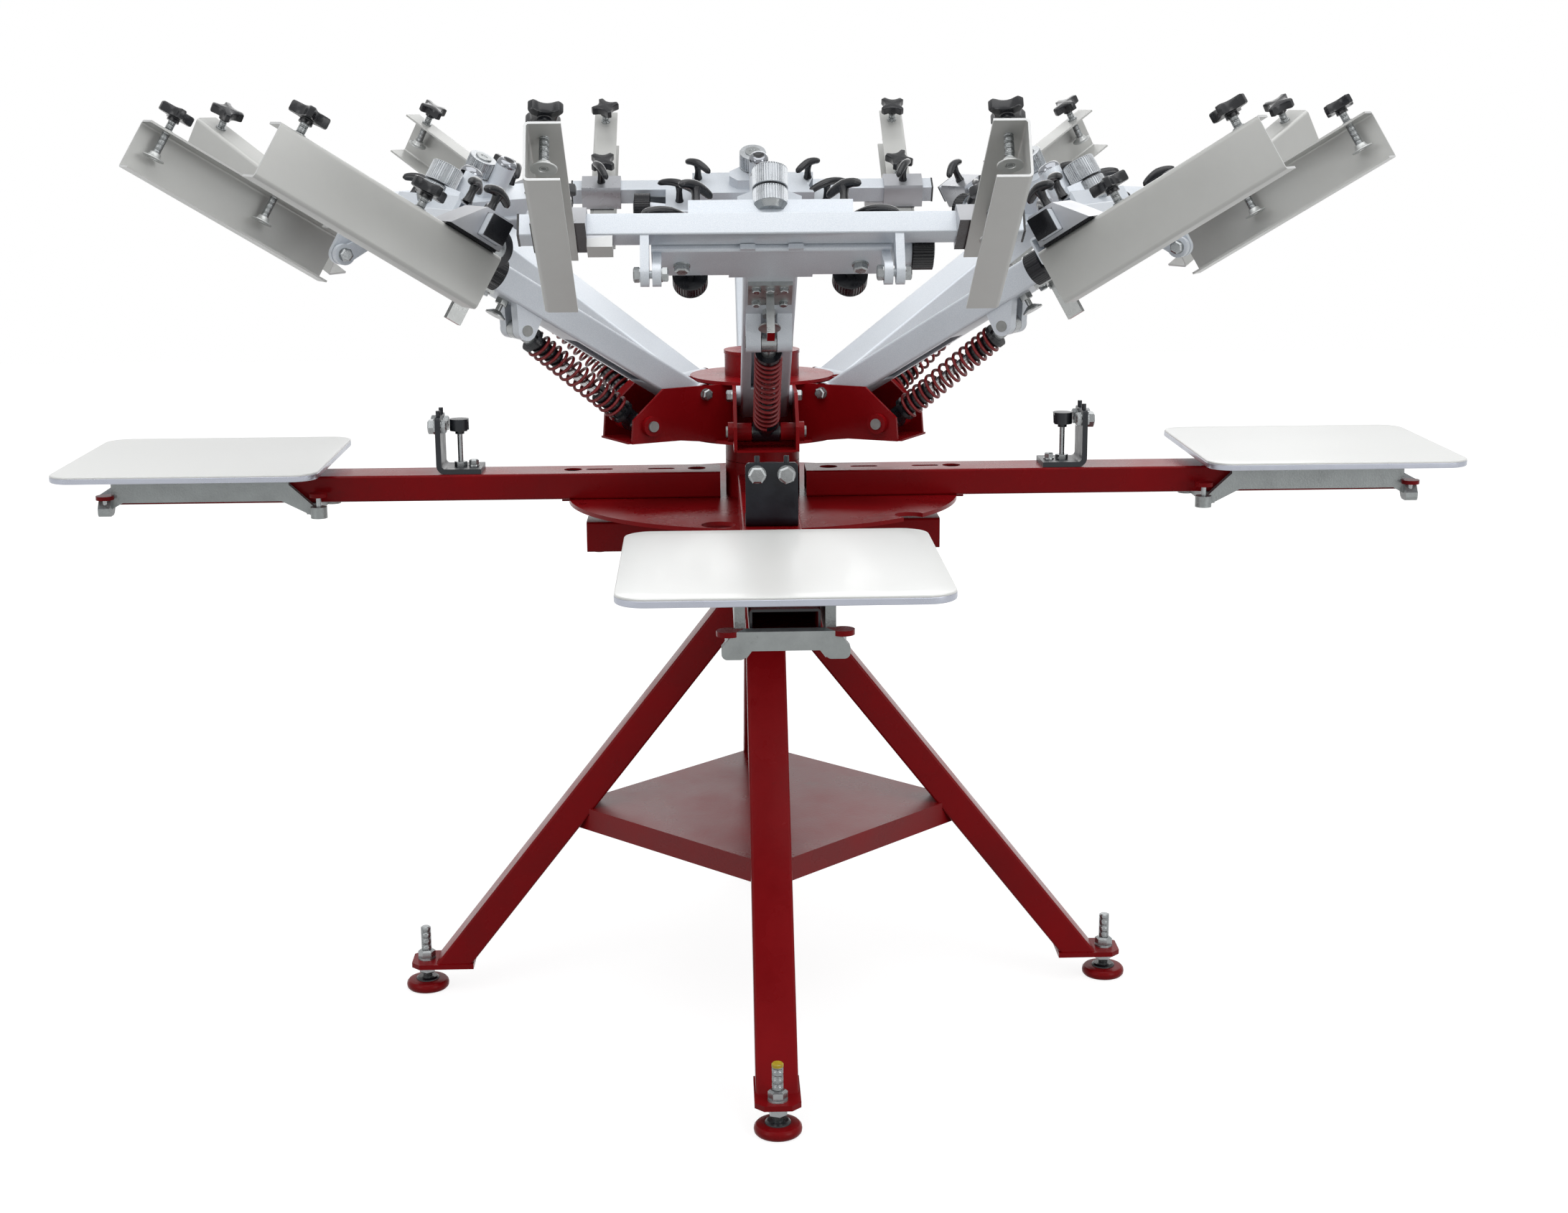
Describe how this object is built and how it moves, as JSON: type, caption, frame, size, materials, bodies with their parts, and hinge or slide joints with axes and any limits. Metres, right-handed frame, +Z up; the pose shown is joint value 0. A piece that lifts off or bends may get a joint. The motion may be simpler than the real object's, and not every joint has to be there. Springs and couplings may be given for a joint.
{
  "type": "screen printing press",
  "caption": "Floor-standing carousel screen printing press with tilting sprung heads, screen clamps, turning platens and a splayed leg stand with a shelf.",
  "frame": {"origin": "on the carousel axis at floor level, under the centre of the stand", "axes": "+Z up the carousel axis, -Y along the front platen arm, +X to the right seen from the front"},
  "size_m": [2.096, 2.096, 1.4037],
  "materials": {
    "red_paint": "dark crimson gloss paint",
    "silver_paint": "pale silver paint with fine sparkle",
    "black_steel": "black painted steel with zinc bolts",
    "foot_steel": "zinc plated stud on a painted steel pad",
    "board": "smooth off-white laminate",
    "cast_aluminium": "sand cast aluminium",
    "brushed_aluminium": "brushed sheet aluminium",
    "strut_black": "black moulded plastic ends on a steel rod",
    "spring_red": "red coated spring wire"
  },
  "bodies": {
    "stand": {"stand_frame": "red_paint", "shelf_tray": "red_paint"},
    "foot_front": {"foot_front": "foot_steel"},
    "foot_right": {"foot_right": "foot_steel"},
    "foot_back": {"foot_back": "foot_steel"},
    "foot_left": {"foot_left": "foot_steel"},
    "platen_carousel": {"index_disc": "red_paint", "platen_arms": "red_paint", "gate_brackets": "black_steel"},
    "platen_front": {"platen_front": "board", "bracket_front": "cast_aluminium"},
    "platen_right": {"platen_right": "board", "bracket_right": "cast_aluminium"},
    "platen_back": {"platen_back": "board", "bracket_back": "cast_aluminium"},
    "platen_left": {"platen_left": "board", "bracket_left": "cast_aluminium"},
    "head_carousel": {"head_hub": "red_paint"},
    "head_1": {"head_1_arm": "silver_paint", "head_1_crossbar": "silver_paint"},
    "head_1_left": {"head_1_clamp_left": "brushed_aluminium"},
    "head_1_right": {"head_1_clamp_right": "brushed_aluminium"},
    "head_1_rod": {"head_1_strut_rod": "strut_black", "head_1_spring": "spring_red"},
    "head_1_cup": {"head_1_strut_cup": "strut_black"},
    "head_2": {"head_2_arm": "silver_paint", "head_2_crossbar": "silver_paint"},
    "head_2_left": {"head_2_clamp_left": "brushed_aluminium"},
    "head_2_right": {"head_2_clamp_right": "brushed_aluminium"},
    "head_2_rod": {"head_2_strut_rod": "strut_black", "head_2_spring": "spring_red"},
    "head_2_cup": {"head_2_strut_cup": "strut_black"},
    "head_3": {"head_3_arm": "silver_paint", "head_3_crossbar": "silver_paint"},
    "head_3_left": {"head_3_clamp_left": "brushed_aluminium"},
    "head_3_right": {"head_3_clamp_right": "brushed_aluminium"},
    "head_3_rod": {"head_3_strut_rod": "strut_black", "head_3_spring": "spring_red"},
    "head_3_cup": {"head_3_strut_cup": "strut_black"},
    "head_4": {"head_4_arm": "silver_paint", "head_4_crossbar": "silver_paint"},
    "head_4_left": {"head_4_clamp_left": "brushed_aluminium"},
    "head_4_right": {"head_4_clamp_right": "brushed_aluminium"},
    "head_4_rod": {"head_4_strut_rod": "strut_black", "head_4_spring": "spring_red"},
    "head_4_cup": {"head_4_strut_cup": "strut_black"},
    "head_5": {"head_5_arm": "silver_paint", "head_5_crossbar": "silver_paint"},
    "head_5_left": {"head_5_clamp_left": "brushed_aluminium"},
    "head_5_right": {"head_5_clamp_right": "brushed_aluminium"},
    "head_5_rod": {"head_5_strut_rod": "strut_black", "head_5_spring": "spring_red"},
    "head_5_cup": {"head_5_strut_cup": "strut_black"},
    "head_6": {"head_6_arm": "silver_paint", "head_6_crossbar": "silver_paint"},
    "head_6_left": {"head_6_clamp_left": "brushed_aluminium"},
    "head_6_right": {"head_6_clamp_right": "brushed_aluminium"},
    "head_6_rod": {"head_6_strut_rod": "strut_black", "head_6_spring": "spring_red"},
    "head_6_cup": {"head_6_strut_cup": "strut_black"}
  },
  "joints": [
    {"name": "foot_front_screw", "type": "slide", "parent": "stand", "child": "foot_front", "axis": [0, 0, -1], "range_m": [0, 0.03]},
    {"name": "foot_right_screw", "type": "slide", "parent": "stand", "child": "foot_right", "axis": [0, 0, -1], "range_m": [0, 0.03]},
    {"name": "foot_back_screw", "type": "slide", "parent": "stand", "child": "foot_back", "axis": [0, 0, -1], "range_m": [0, 0.03]},
    {"name": "foot_left_screw", "type": "slide", "parent": "stand", "child": "foot_left", "axis": [0, 0, -1], "range_m": [0, 0.03]},
    {"name": "platen_turn", "type": "hinge", "parent": "stand", "child": "platen_carousel", "pos_m": [0, 0, 0.83], "axis": [0, 0, 1], "continuous": true},
    {"name": "platen_front_slide", "type": "slide", "parent": "platen_carousel", "child": "platen_front", "axis": [0, -1, 0], "range_m": [0, 0.06]},
    {"name": "platen_right_slide", "type": "slide", "parent": "platen_carousel", "child": "platen_right", "axis": [1, 0, 0], "range_m": [0, 0.06]},
    {"name": "platen_back_slide", "type": "slide", "parent": "platen_carousel", "child": "platen_back", "axis": [0, 1, 0], "range_m": [0, 0.06]},
    {"name": "platen_left_slide", "type": "slide", "parent": "platen_carousel", "child": "platen_left", "axis": [-1, 0, 0], "range_m": [0, 0.06]},
    {"name": "head_turn", "type": "hinge", "parent": "stand", "child": "head_carousel", "pos_m": [0, 0, 0.95], "axis": [0, 0, 1], "continuous": true},
    {"name": "head_1_lift", "type": "hinge", "parent": "head_carousel", "child": "head_1", "pos_m": [0, -0.127, 0.976], "axis": [1, 0, 0], "range_deg": [0, 30], "stiffness_Nm_per_rad": 60, "springref_deg": -57.3, "deforming": ["head_1_spring"]},
    {"name": "head_1_rod_turn", "type": "hinge", "parent": "head_carousel", "child": "head_1_rod", "pos_m": [0, -0.221, 0.936], "axis": [1, 0, 0], "range_deg": [0, 40]},
    {"name": "head_1_cup_turn", "type": "hinge", "parent": "head_1", "child": "head_1_cup", "pos_m": [0, -0.40776, 1.0853], "axis": [1, 0, 0], "range_deg": [0, 10]},
    {"name": "head_1_left_slide", "type": "slide", "parent": "head_1", "child": "head_1_left", "axis": [-1, 0, 0], "range_m": [-0.03, 0.012]},
    {"name": "head_1_right_slide", "type": "slide", "parent": "head_1", "child": "head_1_right", "axis": [1, 0, 0], "range_m": [-0.03, 0.012]},
    {"name": "head_2_lift", "type": "hinge", "parent": "head_carousel", "child": "head_2", "pos_m": [0.10998, -0.0635, 0.976], "axis": [0.5, 0.866, 0], "range_deg": [0, 30], "stiffness_Nm_per_rad": 60, "springref_deg": -57.3, "deforming": ["head_2_spring"]},
    {"name": "head_2_rod_turn", "type": "hinge", "parent": "head_carousel", "child": "head_2_rod", "pos_m": [0.19139, -0.1105, 0.936], "axis": [0.5, 0.866, 0], "range_deg": [0, 40]},
    {"name": "head_2_cup_turn", "type": "hinge", "parent": "head_2", "child": "head_2_cup", "pos_m": [0.35313, -0.20388, 1.0853], "axis": [0.5, 0.866, 0], "range_deg": [0, 10]},
    {"name": "head_2_left_slide", "type": "slide", "parent": "head_2", "child": "head_2_left", "axis": [-0.5, -0.866, 0], "range_m": [-0.03, 0.012]},
    {"name": "head_2_right_slide", "type": "slide", "parent": "head_2", "child": "head_2_right", "axis": [0.5, 0.866, 0], "range_m": [-0.03, 0.012]},
    {"name": "head_3_lift", "type": "hinge", "parent": "head_carousel", "child": "head_3", "pos_m": [0.10998, 0.0635, 0.976], "axis": [-0.5, 0.866, 0], "range_deg": [0, 30], "stiffness_Nm_per_rad": 60, "springref_deg": -57.3, "deforming": ["head_3_spring"]},
    {"name": "head_3_rod_turn", "type": "hinge", "parent": "head_carousel", "child": "head_3_rod", "pos_m": [0.19139, 0.1105, 0.936], "axis": [-0.5, 0.866, 0], "range_deg": [0, 40]},
    {"name": "head_3_cup_turn", "type": "hinge", "parent": "head_3", "child": "head_3_cup", "pos_m": [0.35313, 0.20388, 1.0853], "axis": [-0.5, 0.866, 0], "range_deg": [0, 10]},
    {"name": "head_3_left_slide", "type": "slide", "parent": "head_3", "child": "head_3_left", "axis": [0.5, -0.866, 0], "range_m": [-0.03, 0.012]},
    {"name": "head_3_right_slide", "type": "slide", "parent": "head_3", "child": "head_3_right", "axis": [-0.5, 0.866, 0], "range_m": [-0.03, 0.012]},
    {"name": "head_4_lift", "type": "hinge", "parent": "head_carousel", "child": "head_4", "pos_m": [0, 0.127, 0.976], "axis": [-1, 0, 0], "range_deg": [0, 30], "stiffness_Nm_per_rad": 60, "springref_deg": -57.3, "deforming": ["head_4_spring"]},
    {"name": "head_4_rod_turn", "type": "hinge", "parent": "head_carousel", "child": "head_4_rod", "pos_m": [0, 0.221, 0.936], "axis": [-1, 0, 0], "range_deg": [0, 40]},
    {"name": "head_4_cup_turn", "type": "hinge", "parent": "head_4", "child": "head_4_cup", "pos_m": [0, 0.40776, 1.0853], "axis": [-1, 0, 0], "range_deg": [0, 10]},
    {"name": "head_4_left_slide", "type": "slide", "parent": "head_4", "child": "head_4_left", "axis": [1, 0, 0], "range_m": [-0.03, 0.012]},
    {"name": "head_4_right_slide", "type": "slide", "parent": "head_4", "child": "head_4_right", "axis": [-1, 0, 0], "range_m": [-0.03, 0.012]},
    {"name": "head_5_lift", "type": "hinge", "parent": "head_carousel", "child": "head_5", "pos_m": [-0.10998, 0.0635, 0.976], "axis": [-0.5, -0.866, 0], "range_deg": [0, 30], "stiffness_Nm_per_rad": 60, "springref_deg": -57.3, "deforming": ["head_5_spring"]},
    {"name": "head_5_rod_turn", "type": "hinge", "parent": "head_carousel", "child": "head_5_rod", "pos_m": [-0.19139, 0.1105, 0.936], "axis": [-0.5, -0.866, 0], "range_deg": [0, 40]},
    {"name": "head_5_cup_turn", "type": "hinge", "parent": "head_5", "child": "head_5_cup", "pos_m": [-0.35313, 0.20388, 1.0853], "axis": [-0.5, -0.866, 0], "range_deg": [0, 10]},
    {"name": "head_5_left_slide", "type": "slide", "parent": "head_5", "child": "head_5_left", "axis": [0.5, 0.866, 0], "range_m": [-0.03, 0.012]},
    {"name": "head_5_right_slide", "type": "slide", "parent": "head_5", "child": "head_5_right", "axis": [-0.5, -0.866, 0], "range_m": [-0.03, 0.012]},
    {"name": "head_6_lift", "type": "hinge", "parent": "head_carousel", "child": "head_6", "pos_m": [-0.10998, -0.0635, 0.976], "axis": [0.5, -0.866, 0], "range_deg": [0, 30], "stiffness_Nm_per_rad": 60, "springref_deg": -57.3, "deforming": ["head_6_spring"]},
    {"name": "head_6_rod_turn", "type": "hinge", "parent": "head_carousel", "child": "head_6_rod", "pos_m": [-0.19139, -0.1105, 0.936], "axis": [0.5, -0.866, 0], "range_deg": [0, 40]},
    {"name": "head_6_cup_turn", "type": "hinge", "parent": "head_6", "child": "head_6_cup", "pos_m": [-0.35313, -0.20388, 1.0853], "axis": [0.5, -0.866, 0], "range_deg": [0, 10]},
    {"name": "head_6_left_slide", "type": "slide", "parent": "head_6", "child": "head_6_left", "axis": [-0.5, 0.866, 0], "range_m": [-0.03, 0.012]},
    {"name": "head_6_right_slide", "type": "slide", "parent": "head_6", "child": "head_6_right", "axis": [0.5, -0.866, 0], "range_m": [-0.03, 0.012]}
  ],
  "couplings": [
    {"joint": "head_1_rod_turn", "follows": "head_1_lift", "ratio": 1.3166},
    {"joint": "head_1_cup_turn", "follows": "head_1_lift", "ratio": 0.3166},
    {"joint": "head_2_rod_turn", "follows": "head_2_lift", "ratio": 1.3166},
    {"joint": "head_2_cup_turn", "follows": "head_2_lift", "ratio": 0.3166},
    {"joint": "head_3_rod_turn", "follows": "head_3_lift", "ratio": 1.3166},
    {"joint": "head_3_cup_turn", "follows": "head_3_lift", "ratio": 0.3166},
    {"joint": "head_4_rod_turn", "follows": "head_4_lift", "ratio": 1.3166},
    {"joint": "head_4_cup_turn", "follows": "head_4_lift", "ratio": 0.3166},
    {"joint": "head_5_rod_turn", "follows": "head_5_lift", "ratio": 1.3166},
    {"joint": "head_5_cup_turn", "follows": "head_5_lift", "ratio": 0.3166},
    {"joint": "head_6_rod_turn", "follows": "head_6_lift", "ratio": 1.3166},
    {"joint": "head_6_cup_turn", "follows": "head_6_lift", "ratio": 0.3166}
  ]
}
